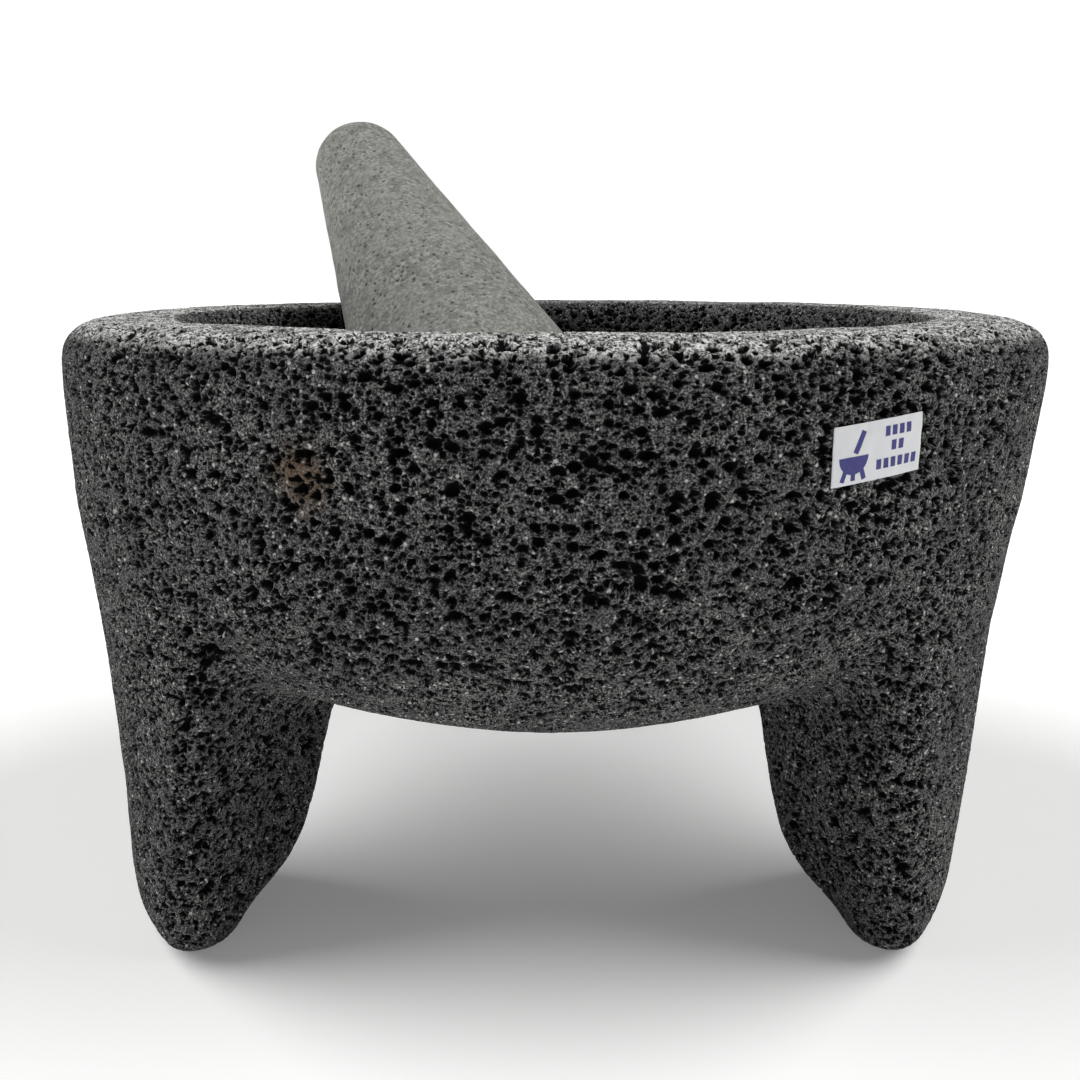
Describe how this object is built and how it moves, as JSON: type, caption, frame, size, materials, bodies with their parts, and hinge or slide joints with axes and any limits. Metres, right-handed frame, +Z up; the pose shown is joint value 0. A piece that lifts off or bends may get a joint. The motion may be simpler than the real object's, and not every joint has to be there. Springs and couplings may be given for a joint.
{
  "type": "molcajete",
  "caption": "Three-legged round mortar carved from one block of porous basalt, with a loose tapered stone pestle leaning in the bowl and a small paper label.",
  "frame": {"origin": "on the floor, under the centre of the rim, midway across the whole object", "axes": "+Z up along the bowl's axis; -Y is the front, between two legs; +Y is the back, where the third leg stands"},
  "size_m": [0.2026, 0.2028, 0.171],
  "materials": {
    "basalt": "porous vesicular basalt, hand dressed and matt",
    "dressed_basalt": "fine-grained lighter basalt, rubbed smooth and matt",
    "label_paper": "white coated paper with a plain dark blue print"
  },
  "bodies": {
    "mortar": {"mortar": "basalt", "label": "label_paper"},
    "pestle": {"pestle": "dressed_basalt"}
  },
  "joints": [
    {"name": "pestle_lift", "type": "slide", "parent": "mortar", "child": "pestle", "axis": [0, 0, 1], "range_m": [0, 0.075]}
  ]
}
